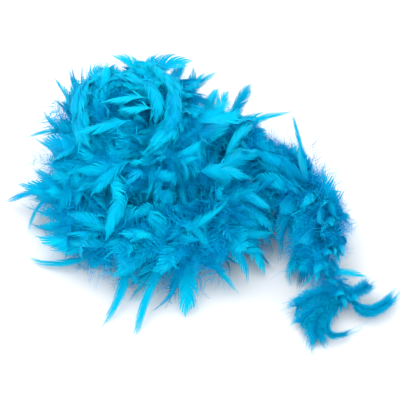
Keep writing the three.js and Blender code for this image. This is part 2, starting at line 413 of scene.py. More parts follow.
# %% [markdown]
# ## A tube along a line
# Cord, thread and knots are all long thin tubes. A flat grid is rolled up along a line of
# ring centres and welded at its seam, which keeps one even map for the finish.

# %% A tube along a line
MAP_NAME = "OFBake"
WELD = 1e-6


def keep(name, sheet, material):
    """Turns a finished bmesh into a smooth piece of the scene."""
    piece = link(bpy.data.objects.new(name, bpy.data.meshes.new(name)))
    sheet.to_mesh(piece.data)
    sheet.free()
    piece.data.materials.append(material)
    piece.data.shade_smooth()
    return piece


def tube(name, path, sides, radius, material):
    """A closed tube along a path. radius gives its size at a turn, in radians, and a ring."""
    path = np.asarray(path)
    ahead = unit(np.gradient(path, axis=0))
    beside = unit(np.cross(ahead, UP))
    over = np.cross(beside, ahead)
    sheet = bmesh.new()
    sheet.loops.layers.uv.new(MAP_NAME)
    last = len(path) - 1
    bmesh.ops.create_grid(sheet, x_segments=sides, y_segments=last, size=0.5, calc_uvs=True)
    for vert in sheet.verts:
        ring = round((vert.co.y + 0.5) * last)
        turn = (vert.co.x + 0.5) * 2 * math.pi
        aside = beside[ring] * math.cos(turn) + over[ring] * math.sin(turn)
        vert.co = path[ring] + aside * radius(turn, ring)
    bmesh.ops.remove_doubles(sheet, verts=sheet.verts, dist=WELD)
    open_ends = [edge for edge in sheet.edges if edge.is_boundary]
    bmesh.ops.holes_fill(sheet, edges=open_ends, sides=0)
    bmesh.ops.recalc_face_normals(sheet, faces=sheet.faces)
    return keep(name, sheet, material)


print("the map of each piece is named", MAP_NAME)

# %% [markdown]
# ## Shader nodes in short
# Every finish here is built from the same few steps: add a node, feed it, mix two dyes. A
# small helper keeps each finish short enough to read.

# %% Shader nodes in short
SHEEN_ROUGHNESS = 0.4
RELIEF_STRENGTH = 0.7


class Finish:
    """A material with a Principled shader, and short ways to add and join nodes."""

    def __init__(self, name, roughness=0.6, gloss=0.2, tint=(0.0, 0.5, 0.8), sheen=0.0):
        self.material = bpy.data.materials.new(name)
        self.material.use_nodes = True
        self.tree = self.material.node_tree
        self.shader = self.tree.nodes["Principled BSDF"].inputs
        self.shader["Roughness"].default_value = roughness
        self.shader["Specular IOR Level"].default_value = gloss
        self.shader["Specular Tint"].default_value = (*tint, 1.0)
        self.shader["Sheen Weight"].default_value = sheen
        self.shader["Sheen Roughness"].default_value = SHEEN_ROUGHNESS
        self.shader["Sheen Tint"].default_value = (*tint, 1.0)

    def feed(self, source, socket):
        if isinstance(source, bpy.types.NodeSocket):
            self.tree.links.new(source, socket)
        else:
            socket.default_value = source

    def add(self, kind, sources, **settings):
        node = self.tree.nodes.new(kind)
        for key, value in settings.items():
            setattr(node, key, value)
        for socket, source in sources.items():
            self.feed(source, node.inputs[socket])
        return node

    def math(self, operation, *sources):
        return self.add("ShaderNodeMath", dict(enumerate(sources)), operation=operation).outputs[0]

    def times(self, source, factor):
        return self.math("MULTIPLY", source, factor)

    def scaled(self, source, gain, offset):
        return self.math("MULTIPLY_ADD", source, gain, offset)

    def clamped(self, source):
        return self.add("ShaderNodeClamp", {0: source}).outputs[0]

    def vector(self, x, y, z=0.0):
        return self.add("ShaderNodeCombineXYZ", {0: x, 1: y, 2: z}).outputs[0]

    def noise(self, place, scale, detail=2.0):
        sources = {"Vector": place, "Scale": scale, "Detail": detail}
        return self.add("ShaderNodeTexNoise", sources).outputs[0]

    def mix(self, share, low, high):
        """Mixes two dyes: a Mix node's sockets 6 and 7 and its output 2 are its colours."""
        mixing = self.add("ShaderNodeMix", {0: share, 6: low, 7: high}, data_type="RGBA")
        return mixing.outputs[2]

    def map_parts(self):
        place = self.add("ShaderNodeUVMap", {}, uv_map=MAP_NAME).outputs[0]
        parts = self.add("ShaderNodeSeparateXYZ", {0: place})
        return parts.outputs[0], parts.outputs[1]

    def show(self, color, roughness, height, depth):
        self.feed(color, self.shader["Base Color"])
        self.feed(roughness, self.shader["Roughness"])
        sources = {"Height": height, "Strength": RELIEF_STRENGTH, "Distance": depth}
        self.feed(self.add("ShaderNodeBump", sources).outputs[0], self.shader["Normal"])
        return self.material


print("ways to build a finish:", [name for name in vars(Finish) if name[0] != "_"])

# %% [markdown]
# ## The cord's finish
# The string is dyed cotton in two plies. Its colour is a little deeper than the feathers',
# with faint lighter fibres that run along each ply.

# %% The cord's finish
FIBRES_ACROSS = 9.0
FIBRE_DETAIL = 4.0
FIBRE_RELIEF = 0.0003
# gain and offset: of the dye's contrast, and of the roughness
FIBRE_CONTRAST = (2.2, -0.6)
FIBRE_ROUGHNESS = (0.2, 0.7)


def cotton(name, deep, light, fibres_along):
    finish = Finish(name, sheen=0.3)
    around, along = finish.map_parts()
    place = finish.vector(finish.times(around, FIBRES_ACROSS), finish.times(along, fibres_along))
    fibre = finish.noise(place, 1.0, FIBRE_DETAIL)
    share = finish.clamped(finish.scaled(fibre, *FIBRE_CONTRAST))
    color = finish.mix(share, (*deep, 1), (*light, 1))
    return finish.show(color, finish.scaled(fibre, *FIBRE_ROUGHNESS), fibre, FIBRE_RELIEF)


COTTON = cotton("dyed_cotton", (0.0, 0.12, 0.34), (0.01, 0.28, 0.55), 160.0)
THREAD = cotton("binding_thread", (0.0, 0.16, 0.40), (0.02, 0.34, 0.62), 400.0)
print("finishes", COTTON.name, THREAD.name)

# %% [markdown]
# ## The cord
# One string runs from knot to knot, 1.84 m long and 4 mm thick. It is made in four lengths
# that meet end to end, so that the three in the tail can turn where the tail bends. The two
# plies wind round each other once every 9 mm: a tube with two lobes that turn as it goes.

# %% The cord
PLY_PITCH = 0.009
PLY_WAIST = 0.74
RING_STEP = 0.0015
CORD_SIDES = 12


def cord_length(name, begin, finish):
    path = on_cord(np.linspace(begin, finish, round((finish - begin) / RING_STEP) + 1))

    def two_plies(turn, ring):
        wound = 2 * math.pi * ring * RING_STEP / PLY_PITCH
        return CORD_D / 2 * (PLY_WAIST + (1 - PLY_WAIST) * abs(math.cos(turn - wound)))

    return tube(name, path, CORD_SIDES, two_plies, COTTON), path


# name: (from, to, what its end nearer the tail's knot is, node stood for, stretch it bends with)
CORD_LENGTHS = {
    "cord_length_tip": (0.0, 3 * REACH, "knot", "cord_tail_tip", "tip_bend"),
    "cord_length_mid": (3 * REACH, 5 * REACH, "object", "cord_tail_mid", "mid_bend"),
    "cord_length_near": (5 * REACH, HEAP_FROM, "object", "cord_tail_near", "near_bend"),
}
for name, (begin, finish, far_end, node, stretch) in CORD_LENGTHS.items():
    piece, path = cord_length(name, begin, finish)
    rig.replaces(piece, node)
    attach(piece, stretch)
    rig.slot(piece, "cord")
    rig.cord(piece, exit=path[-1], length=finish - begin, diameter=CORD_D, far_end=far_end,
            stiffness="limp", lay="loose", path=path[::-1])

coil, path = cord_length("cord_length_heap", HEAP_FROM, cord_end)
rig.replaces(coil, "cord_heap")
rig.ride(coil, "heap")
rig.slot(coil, "cord")
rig.cord(coil, exit=path[0], length=cord_end - HEAP_FROM, diameter=CORD_D, far_end="knot",
        stiffness="limp", lay="coiled", path=path)
print("cord in four lengths,", round(cord_end, 3), "m in all")

# %% [markdown]
# ## Knots
# An overhand knot stops the feathers at each end. The simplest knot's line is a trefoil, so
# one formula ties both.

# %% Knots
KNOT_SIZE = 0.0105
KNOT_SQUEEZE = 0.85
KNOT_POINTS = 61
KNOT_SIDES = 10


def knot(name, node, body):
    t = np.linspace(0, 2 * math.pi, KNOT_POINTS)
    trefoil = [np.sin(t) + 2 * np.sin(2 * t), np.cos(t) - 2 * np.cos(2 * t), -0.8 * np.sin(3 * t)]
    low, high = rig.box(node)
    centre = (np.array(low) + np.array(high)) / 2
    path = centre + np.stack(trefoil, axis=1) * KNOT_SIZE / 6
    piece = tube(name, path, KNOT_SIDES, lambda turn, ring: CORD_D / 2 * KNOT_SQUEEZE, COTTON)
    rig.replaces(piece, node)
    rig.ride(piece, body)
    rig.slot(piece, "cord")


knot("overhand_knot_tail", "knot_tail", "tail_tip")
knot("overhand_knot_inner", "knot_inner", "heap")
print("a knot at each end of the cord")

# %% [markdown]
# ## Binding thread
# A fine thread winds round the string and holds every quill down. It is a helix on the cord's
# own line, in the same stretches as the feathers.

# %% Binding thread
THREAD_D = 0.0006
THREAD_PITCH = 0.012
THREAD_SIDES = 5
THREAD_PRESSED_IN = 0.52
POINTS_PER_WIND = 9

for stretch, (begin, finish, _, _) in STRETCHES.items():
    at = np.arange(begin, finish, THREAD_PITCH / POINTS_PER_WIND)
    along, beside, over = cord_frame(at)
    wound = (at * 2 * math.pi / THREAD_PITCH)[:, None]
    off_cord = (beside * np.cos(wound) - over * np.sin(wound)) * CORD_D * THREAD_PRESSED_IN
    path = on_cord(at) + off_cord
    name = f"binding_thread_{stretch}"
    piece = tube(name, path, THREAD_SIDES, lambda turn, ring: THREAD_D / 2, THREAD)
    attach(piece, stretch)
    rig.slot(piece, "cord")
print("thread round", len(STRETCHES), "stretches")

# %% [markdown]
# ## Dyed feather finishes
# A vane is a comb of fine barbs, so its colour and relief run along them. On the feather's
# own map a barb is a level line, and each feather sits in one of sixteen squares; each square
# has a paleness of its own, because no two feathers take the dye alike.

# %% Dyed feather finishes
SQUARES = 4
FEATHER_TINT = (0.05, 0.62, 0.95)
FEATHER_SHEEN = 0.12
# gain and offset: of the barbs' stripes, of the broad clouds, and of the roughness
STRIPES = (2.4, -0.98)
CLOUDS = (1.2, -0.5)
BARB_ROUGHNESS = (0.25, 0.38)
# how strongly painted light brightens a vane's rim, as if lit through its thin edge
PAINTED_RIM_GLOW = 0.6
PALEST = 0.5


def dyed(name, deep, full, light, barbs, depth, gloss):
    finish = Finish(name, gloss=gloss, tint=FEATHER_TINT, sheen=FEATHER_SHEEN)
    u, v = [finish.times(part, float(SQUARES)) for part in finish.map_parts()]
    across, along = finish.math("FRACT", u), finish.math("FRACT", v)
    square = finish.vector(finish.math("FLOOR", u), finish.math("FLOOR", v))
    chance = finish.add("ShaderNodeTexWhiteNoise", {"Vector": square}, noise_dimensions="2D")
    pale = chance.outputs["Value"]

    # fine stripes along the barbs, and broad clouds where the dye took well
    on_barbs = finish.vector(finish.times(across, 2.0), finish.times(along, barbs), pale)
    fine = finish.noise(on_barbs, 1.0, 3.0)
    broad = finish.noise(finish.vector(across, finish.times(along, 3.0), pale), 3.0, 2.0)
    shade = finish.math("ADD", finish.scaled(fine, *STRIPES), finish.scaled(broad, *CLOUDS))
    color = finish.mix(finish.clamped(shade), (*deep, 1), (*full, 1))

    # painted light towards the rim, standing in for light shining through the thin edges, and lighter all over in a
    # pale square
    off_shaft = finish.math("ABSOLUTE", finish.math("SUBTRACT", across, 0.5))
    painted_rim_light = finish.times(finish.math("POWER", finish.times(off_shaft, 2.0), 2.0), PAINTED_RIM_GLOW)
    color = finish.mix(finish.times(painted_rim_light, pale), color, (*light, 1))
    color = finish.mix(finish.times(pale, PALEST), color, (*light, 1))
    return finish.show(color, finish.scaled(fine, *BARB_ROUGHNESS), fine, depth)


VANE = dyed("dyed_vane", (0.0, 0.31, 0.64), (0.0, 0.54, 0.78), (0.0, 0.67, 0.84), 34.0, 0.0008, 0.14)
DOWN = dyed("dyed_down", (0.0, 0.27, 0.68), (0.0, 0.46, 0.83), (0.0, 0.63, 0.90), 40.0, 0.0002, 0.05)
PLUME = dyed("dyed_plume", (0.0, 0.34, 0.68), (0.0, 0.52, 0.80), (0.0, 0.66, 0.86), 40.0, 0.0002, 0.05)
print("finishes", VANE.name, DOWN.name, PLUME.name)

# %% [markdown]
# ## Outlines of the flats
# Turkey flats come rounded, pointed, blunt, split or in narrow strips. An outline is the half
# width at eleven places, read off between them.

# %% Outlines of the flats
OUTLINES = {
    # share of the greatest half width, from quill to tip
    "round": (0.20, 0.45, 0.70, 0.88, 0.98, 1.0, 0.97, 0.90, 0.78, 0.60, 0.34),
    "pointed": (0.20, 0.45, 0.72, 0.92, 1.0, 0.96, 0.82, 0.64, 0.44, 0.24, 0.05),
    "blunt": (0.20, 0.42, 0.64, 0.82, 0.92, 0.98, 1.0, 0.98, 0.92, 0.82, 0.66),
    "strip": (0.15, 0.30, 0.45, 0.56, 0.60, 0.60, 0.57, 0.52, 0.46, 0.36, 0.20),
    "split": (0.20, 0.46, 0.72, 0.90, 0.98, 1.0, 0.95, 0.84, 0.70, 0.54, 0.40),
}


def half_width(kind, along):
    """Half a flat's width at a share of its length."""
    shares = OUTLINES[kind]
    return 0.5 * float(np.interp(along, np.linspace(0, 1, len(shares)), shares))


print("outlines", list(OUTLINES))

# %% [markdown]
# ## Barbs and shafts
# Each pattern is one feather, one unit long and one wide, that lies along +Y. A barb starts as
# a small grid and is swept from the shaft to the edge by a shape of its own. The shaft is made
# the same way, as a low ridge.

# %% Barbs and shafts
SHAFT_RIDGE = 0.8


def on_map(across, along):
    """A place in a feather's square of the map: across from -1 to 1, along from 0 to 1."""
    return 0.5 + 0.45 * across, 0.05 + 0.9 * along


def add_barb(sheet, shape, steps, place_in_map):
    """One barb: a narrow grid, swept through shape(share, side) from shaft to edge."""
    made = bmesh.ops.create_grid(sheet, x_segments=1, y_segments=steps, size=0.5)
    layer = sheet.loops.layers.uv.active
    for vert in made["verts"]:
        share, side = vert.co.y + 0.5, vert.co.x * 2
        for corner in vert.link_loops:
            corner[layer].uv = place_in_map(share, side)
        vert.co = shape(share, side)


def add_shaft(sheet, steps, thick):
    """The shaft: a low ridge that thins towards the tip."""
    def shape(share, side):
        return Vector((side * thick * (1.05 - share), share, thick * SHAFT_RIDGE * (1 - share)))

    add_barb(sheet, shape, steps, lambda share, side: on_map(side / 45, share))


def new_sheet():
    sheet = bmesh.new()
    sheet.loops.layers.uv.new(MAP_NAME)
    return sheet


def as_pattern(sheet, name):
    mesh = bpy.data.meshes.new(f"pattern_{name}")
    sheet.to_mesh(mesh)
    sheet.free()
    return mesh


trial = new_sheet()
add_shaft(trial, steps=3, thick=0.025)
print("faces of a shaft", len(trial.faces))
trial.free()

# %% [markdown]
# ## A flat feather
# Neighbouring barbs cling in locks, and the locks part a little, which gives the ragged edge.
# The barbs near the quill are loose, and a few stray ones stand up from the vane.

# %% A flat feather
# along the feather: where the barbs start and end, how far the loose ones go, and the limit
BARE_QUILL = 0.06
BARBS_END = 0.84
LOOSE_BASE = 0.24
TIP_LIMIT = 1.04
# a barb: how far it rises to the tip, how it curves, how much it laps over, and the vane's cup
BARB_RISE = 0.36
BARB_CURVE = 1.5
BARB_LAP = 0.56
CUP = 0.9
RUFFLE = (0.05, 0.2)
BARB_LENGTHS = (0.90, 1.06)
LOOSE_LIFT = 0.3
# a lock: how many barbs cling, and how far the lock leads, lifts and is pulled in
LOCK_BARBS = (2, 6)
LOCK_LEAD = 0.022
LOCK_LIFT = 0.05
LOCK_PULL = (0.86, 1.04)
# a stray barb: its length, lift and half width
STRAY_LENGTHS = (1.15, 1.5)
STRAY_LIFT = 0.15
STRAY_HALF = 0.006


def vane_pattern(kind, barbs, steps, seed, strays=8, fringe=0.5):
    """A flat feather of one outline, with its barbs in locks and a few stray ones."""
    draw = np.random.default_rng(seed)
    sheet = new_sheet()
    spacing = (BARBS_END - BARE_QUILL) / barbs

    def barb_line(place, share, longer=1.0):
        begin = BARE_QUILL + spacing * place
        rise = BARB_RISE * (1 - 0.5 * begin)
        fan = min(1.0, (barbs - place) / 4)
        widest = half_width(kind, min(1.0, begin + rise)) * fan
        x = widest * longer * math.sin(BARB_CURVE * share)
        return x, min(begin + rise * longer * share, TIP_LIMIT)

    for hand in (-1, 1):
        lock_left = 0
        turn = draw.uniform(0, 6)
        ruffle = draw.uniform(*RUFFLE)
        for i in range(barbs):
            if lock_left == 0:
                lock_left = int(draw.integers(*LOCK_BARBS))
                lead = draw.normal(0, LOCK_LEAD)
                lift = draw.normal(0, LOCK_LIFT)
                pull = draw.uniform(*LOCK_PULL)
            lock_left -= 1
            loose = max(0.0, 1 - i / barbs / LOOSE_BASE) * draw.normal(0, LOOSE_LIFT)
            length = pull * draw.uniform(*BARB_LENGTHS)

            def shape(share, side):
                lap = side * BARB_LAP * (1 - fringe * share ** 2)
                x, y = barb_line(i + 0.5 + lap, share)
                z = (lift + loose) * share - CUP * x * x + ruffle * math.sin(9 * y + turn) * x
                return Vector((hand * x * (1 + (length - 1) * share), y + lead * share ** 2, z))

            def place_in_map(share, side):
                return on_map(hand * share, BARE_QUILL + spacing * (i + 0.5 + side * 0.5))

            add_barb(sheet, shape, steps, place_in_map)
        for _ in range(strays):
            at = draw.uniform(0, barbs * 0.9)
            longer = draw.uniform(*STRAY_LENGTHS)
            lift = draw.normal(0, STRAY_LIFT)

            def stray(share, side):
                x, y = barb_line(at, share, longer)
                return Vector((hand * x, y + side * STRAY_HALF * (1.1 - share), lift * share))

            spot = on_map(hand * 8 / 9, at / barbs)
            add_barb(sheet, stray, steps, lambda share, side: spot)
    add_shaft(sheet, steps=3, thick=0.025)
    return as_pattern(sheet, f"{kind}_{seed}")


print("a flat's barbs start at", BARE_QUILL, "and end at", BARBS_END, "of its length")

# %% [markdown]
# ## The short flats
# Eight patterns are enough for hundreds of feathers, because every copy bends its own way.
# Each has only a few dozen faces, and every other one has a more ragged fringe.

# %% The short flats
KINDS = ("round", "round", "round", "pointed", "pointed", "blunt", "split", "strip")
FRINGES = (0.5, 0.9)
VANES = [
    vane_pattern(kind, barbs=14, steps=2, seed=50 + i, strays=4, fringe=FRINGES[i % 2])
    for i, kind in enumerate(KINDS)
]
print(len(VANES), "flats with", [len(vane.polygons) for vane in VANES], "faces")

# %% [markdown]
# ## A downy plume
# Down has no hooks to hold its barbs together, so each is long and loose, with its own curl,
# on a thin shaft.

# %% A downy plume
DOWN_LENGTHS = (0.6, 1.05)
DOWN_RISE = (0.2, 0.7)
DOWN_LIFT = 0.18
DOWN_CURL = 0.07
DOWN_HALF = (0.0035, 0.0065)


def down_pattern(pairs, seed, reach, steps=2, thick=1.0):
    """A downy plume: long loose barbs on a thin shaft, each with its own curl."""
    draw = np.random.default_rng(seed)
    sheet = new_sheet()
    for i in range(pairs * 2):
        hand = 1 if i % 2 else -1
        begin = 0.05 + 0.85 * (i // 2 + draw.random()) / pairs
        long = reach * draw.uniform(*DOWN_LENGTHS) * (0.6 + 0.4 * math.sin(math.pi * begin))
        rise = draw.uniform(*DOWN_RISE)
        lift = draw.normal(0, DOWN_LIFT)
        curl = draw.normal(0, DOWN_CURL)
        half = thick * draw.uniform(*DOWN_HALF)

        def shape(share, side):
            x = hand * long * math.sin(1.4 * share)
            y = begin + long * rise * share + curl * share ** 2 + side * half * (1 - 0.6 * share)
            return Vector((x, y, lift * long * 2 * share + curl * math.sin(3 * share) * 0.5))

        add_barb(sheet, shape, steps, lambda share, side: on_map(hand * share, begin))
    add_shaft(sheet, steps=2, thick=0.012)
    return as_pattern(sheet, f"down_{seed}")


DOWNS = [down_pattern(pairs=16, seed=80 + i, reach=0.5) for i in range(6)]
print(len(DOWNS), "plumes with", len(DOWNS[0].polygons), "faces each")

# %% [markdown]
# ## Bending a feather
# A feather is laid by three points: where its quill is lashed, where its shaft bends and
# where it ends. Each copy of a pattern follows that curve, with its width set across it.

# %% Bending a feather
def points_of(mesh):
    points = np.zeros(len(mesh.vertices) * 3)
    mesh.vertices.foreach_get("co", points)
    return points.reshape(-1, 3)


def bend_copies(pattern, root, bend, tip, across, width, twist=0.0):
    """Where a pattern's points go in each of many copies, bent and twisted along their shafts."""
    points = points_of(pattern)
    t = points[None, :, 1:2]
    start, middle, end = root[:, None], bend[:, None], tip[:, None]
    shaft = (1 - t) ** 2 * start + 2 * t * (1 - t) * middle + t * t * end
    tangent = unit((1 - t) * (middle - start) + t * (end - middle))
    flat = across[:, None]
    flat = unit(flat - np.sum(flat * tangent, axis=-1, keepdims=True) * tangent)
    face = np.cross(flat, tangent)
    turned = np.reshape(twist, (-1, 1, 1)) * t
    wide = flat * np.cos(turned) + face * np.sin(turned)
    high = face * np.cos(turned) - flat * np.sin(turned)
    size = width[:, None, None]
    return shaft + wide * points[None, :, 0:1] * size + high * points[None, :, 2:3] * size


print("points of a flat", len(points_of(VANES[0])))

# %% [markdown]
# ## Joining feathers to a piece
# Hundreds of feathers make one piece. What would stand past the solid model's box is pressed
# back softly, so that no edge looks cut off.

# %% Joining feathers to a piece
FLOOR_GAP = 0.0006
PROUD = np.array((0.018, 0.018, 0.012))
low_corner, high_corner = np.array(cad_low), np.array(cad_high)


def ease_in(places):
    """Presses softly back what stands past the box of the solid model, and keeps off the floor."""
    past_high = np.maximum(places - high_corner, 0.0)
    past_low = np.maximum(low_corner - places, 0.0)
    places = np.clip(places, low_corner, high_corner)
    places += PROUD * (np.exp(-past_low / PROUD) - np.exp(-past_high / PROUD))
    places[:, 2] = np.maximum(places[:, 2], FLOOR_GAP)
    return places


def join_copies(name, batches, material):
    """One piece from many copies; each copy's map goes to one of the dye squares."""
    sheet = bmesh.new()
    places, squares = [], []
    for pattern, placed in batches:
        for _ in placed:
            sheet.from_mesh(pattern)
        places.append(placed.reshape(-1, 3))
        picked = rng.integers(0, SQUARES, (len(placed), 1, 2))
        squares.append(np.repeat(picked, len(pattern.loops), axis=1).reshape(-1, 2))
    piece = keep(name, sheet, material)
    places = ease_in(np.concatenate(places))
    piece.data.vertices.foreach_set("co", places.ravel())
    layer = piece.data.uv_layers[MAP_NAME].data
    spots = np.zeros(len(layer) * 2)
    layer.foreach_get("uv", spots)
    spots = (spots.reshape(-1, 2) + np.concatenate(squares)) / SQUARES
    layer.foreach_set("uv", spots.ravel())
    piece.data.update()
    return piece


def deal(patterns, feathers):
    """Deals laid feathers out to patterns at random."""
    which = rng.integers(0, len(patterns), len(feathers[0]))
    return [
        (pattern, bend_copies(pattern, *[part[which == i] for part in feathers]))
        for i, pattern in enumerate(patterns)
    ]


print("feathers may stand", PROUD.tolist(), "m proud of the solid model")

# %% [markdown]
# ## How far the fluff reaches
# The boa is thickest in the heap and thins to a narrow neck before the tuft at its end.
# Feathers leave the cord on every side, rise, then lean over along it, most of them towards
# the tail, so that they lie over each other like shingles.

# %% How far the fluff reaches
# distance from the tail's knot, then the reach on the outer side, the inner side and above
FLUFF = np.array([
    (0.00, 0.014, 0.018, 0.014), (0.03, 0.016, 0.022, 0.018), (0.045, 0.016, 0.024, 0.018),
    (0.07, 0.018, 0.034, 0.026), (0.10, 0.012, 0.060, 0.028), (0.16, 0.008, 0.084, 0.026),
    (0.24, 0.006, 0.078, 0.014), (0.32, 0.006, 0.060, 0.009), (0.40, 0.012, 0.055, 0.030),
    (0.50, 0.050, 0.055, 0.050), (0.58, 0.040, 0.055, 0.050), (0.62, 0.034, 0.055, 0.050),
    (0.66, 0.058, 0.055, 0.050), (0.72, 0.062, 0.055, 0.050), (0.77, 0.046, 0.055, 0.048),
    (0.82, 0.064, 0.055, 0.048), (0.92, 0.070, 0.055, 0.048), (1.00, 0.050, 0.050, 0.045),
    (1.20, 0.048, 0.045, 0.040), (1.38, 0.042, 0.040, 0.032), (1.44, 0.066, 0.040, 0.031),
    (1.50, 0.060, 0.040, 0.030), (1.58, 0.036, 0.040, 0.024), (1.84, 0.036, 0.040, 0.024),
])
print("the fluff reaches up to", FLUFF[:, 1:].max(), "m from the cord")

# %% [markdown]
# ## Which way a feather stands
# Quills are lashed all round the cord. More feathers stand on the side where the fluff is
# longer, and few below, where the boa lies on the floor.

# %% Which way a feather stands
# how far below level a feather may start, and the most that change to the fuller side
BELOW = -0.3
CHANGE_SIDE = 0.6


def draw_outward(at):
    """The cord's direction, a random one away from it, and the fluff's reach that way."""
    along, beside, over = cord_frame(at)
    around = rng.uniform(-math.pi, math.pi, len(at))
    under = np.sin(around) < BELOW
    around[under] = rng.uniform(BELOW, math.pi - BELOW, under.sum())
    outer, inner, above = [np.interp(at, FLUFF[:, 0], FLUFF[:, k]) for k in (1, 2, 3)]
    moved = (np.cos(around) > 0) & (rng.random(len(at)) < CHANGE_SIDE * (1 - outer / inner))
    around[moved] = math.pi - around[moved]
    outward = np.cos(around)[:, None] * beside + np.sin(around)[:, None] * over
    sideways = np.where(np.cos(around) > 0, outer, inner)
    return along, outward, sideways * np.cos(around) ** 2 + above * np.sin(around) ** 2


print("feathers start no lower than", round(math.degrees(BELOW)), "degrees")

# %% [markdown]
# ## Drawing feathers by chance
# Each feather of a stretch then gets a rise, a run along the cord, a width and a twist. Most
# run towards the tail, over the next ones.

# %% Drawing feathers by chance
# rise and run, as shares of the fluff's reach
RISES = (0.75, 1.12)
BACKWARDS = 0.25
LEAN_SPREAD = 0.3
LEAN_LIMIT = 1.5
VEER = 0.5
STRAY = 0.16
STRAY_LIMIT = 0.3
ELBOWS = (0.5, 1.0)
BEND_RUN = 0.35
BEND_STRAY = 0.8
DROOPS = (0.0, 0.35)
# in the tail feathers lean less, up to the first of these distances from its knot
TAIL_LEAN = 0.8
TAIL_LEAN_TO = (0.35, 0.55)
# bends and tips stay off the floor by at least this much, and by chance a little more
BEND_OFF_FLOOR = 0.004
TIP_OFF_FLOOR = 0.0015
MORE_OFF_FLOOR = 0.004
# a feather widens with its fluff: the fluff of a plain one, and the least and most widening
PLAIN_FLUFF = 0.050
WIDTH_LIMITS = (0.5, 1.15)
WIDTH_SPREAD = 0.22
TWIST = 0.6


def draw_feathers(begin, finish, per_metre, reach, lean, width, roll):
    """Random feathers of a stretch: root, bend and tip, the direction across, width and twist."""
    count = round((finish - begin) * per_metre)
    at = rng.uniform(begin, finish, count)
    along, outward, fluff = draw_outward(at)
    rise = (fluff * reach * rng.uniform(*RISES, count))[:, None]
    towards = np.where(rng.random(count) < BACKWARDS, 1.0, -1.0)
    lean = lean * np.interp(at, TAIL_LEAN_TO, (TAIL_LEAN, 1.0))
    run = (fluff * towards * np.clip(rng.normal(lean, LEAN_SPREAD, count), 0, LEAN_LIMIT))[:, None]
    veer = rng.normal(0, VEER, count)[:, None]
    ahead = along * np.cos(veer) + np.cross(along, outward) * np.sin(veer)
    stray = np.clip(rng.normal(0, STRAY, (count, 3)), -STRAY_LIMIT, STRAY_LIMIT) * fluff[:, None]
    root = on_cord(at) + outward * CORD_D / 2
    elbow = rng.uniform(*ELBOWS, count)[:, None]
    bend = root + outward * rise * elbow + ahead * run * BEND_RUN + stray * BEND_STRAY
    tip = root + outward * rise + ahead * run + stray
    tip[:, 2] -= fluff * rng.uniform(*DROOPS, count)
    for place, least in ((bend, BEND_OFF_FLOOR), (tip, TIP_OFF_FLOOR)):
        place[:] = ease_in(place)
        place[:, 2] = np.maximum(place[:, 2], least + rng.exponential(MORE_OFF_FLOOR, count))
    across = unit(np.cross(tip - root, outward) + TINY)
    turned = rng.normal(0, roll, count)[:, None]
    across = across * np.cos(turned) + outward * np.sin(turned)
    size = np.clip(fluff / PLAIN_FLUFF, *WIDTH_LIMITS) * rng.normal(width, WIDTH_SPREAD * width, count)
    return root, bend, tip, across, size, rng.normal(0, TWIST, count)


def density(stretch, in_heap, in_tail):
    """Feathers per metre of a stretch."""
    return in_heap * (1.0 if stretch.startswith("heap") else in_tail)


print("one feather in", round(1 / BACKWARDS), "leans away from the tail")

# %% [markdown]
# ## The flat feathers
# These are the broad, silky vanes that give a chandelle boa its look.

# %% The flat feathers
VANES_PER_METRE = 740
TAIL_VANES = 0.75


def flats(name, feathers, patterns=VANES):
    """One piece of laid flats, in the feathers' finish."""
    piece = join_copies(f"flat_feathers_{name}", deal(patterns, feathers), VANE)
    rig.slot(piece, "feather")
    return piece


laid = 0
for stretch, (begin, finish, _, _) in STRETCHES.items():
    per_metre = density(stretch, VANES_PER_METRE, TAIL_VANES)
    feathers = draw_feathers(begin, finish, per_metre, reach=1.0, lean=1.25, width=0.029, roll=0.35)
    attach(flats(stretch, feathers), stretch)
    laid += len(feathers[0])
print("flats round the cord", laid)

# %% [markdown]
# ## Feathers in sweeps
# Where the upper turns of the coil push up, the flats lie in long arcs round the crown. These
# are listed one by one, since chance alone never lines feathers up.

# %% Feathers in sweeps
# each sweep is a line in millimetres; a feather spans every three points of it
SWEEPS = [
    [(-108, 182, 150), (-75, 178, 156), (-52, 162, 162), (-38, 134, 167), (-32, 94, 164),
     (-45, 60, 156), (-67, 37, 146)],
    [(-112, 182, 148), (-144, 166, 150), (-164, 131, 150), (-168, 89, 148), (-158, 54, 132)],
    [(-140, 118, 160), (-118, 142, 165), (-91, 148, 167), (-63, 121, 166), (-59, 79, 160)],
]
LAYERS_OF_SWEEP = 4
SWEEP_SPREAD = 5
SWEEP_WIDTHS = (16, 26)
FLAT_TWIST = 0.3
HEAP_MIDDLE = np.array((-0.08, 0.07, 0.0))


def rows_of(feathers):
    """Turns a list of (root, bend, tip, width) into arrays to lay, flat side out of the heap."""
    root, bend, tip = [
        np.array([feather[k] for feather in feathers], float) * MM for k in range(3)
    ]
    width = np.array([feather[3] for feather in feathers]) * MM
    outward = unit((root + tip) / 2 - HEAP_MIDDLE)
    across = unit(np.cross(tip - root, outward))
    return root, bend, tip, across, width, rng.normal(0, FLAT_TWIST, len(feathers))


swept = []
for sweep in SWEEPS:
    for first, middle, last in zip(sweep, sweep[1:], sweep[2:]):
        for _ in range(LAYERS_OF_SWEEP):
            root, mid, tip = np.array((first, middle, last)) + rng.normal(0, SWEEP_SPREAD, (3, 3))
            swept.append((root, 2 * mid - (root + tip) / 2, tip, rng.uniform(*SWEEP_WIDTHS)))
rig.ride(flats("sweeps", rows_of(swept)), "heap")
print(len(swept), "flats in", len(SWEEPS), "sweeps")
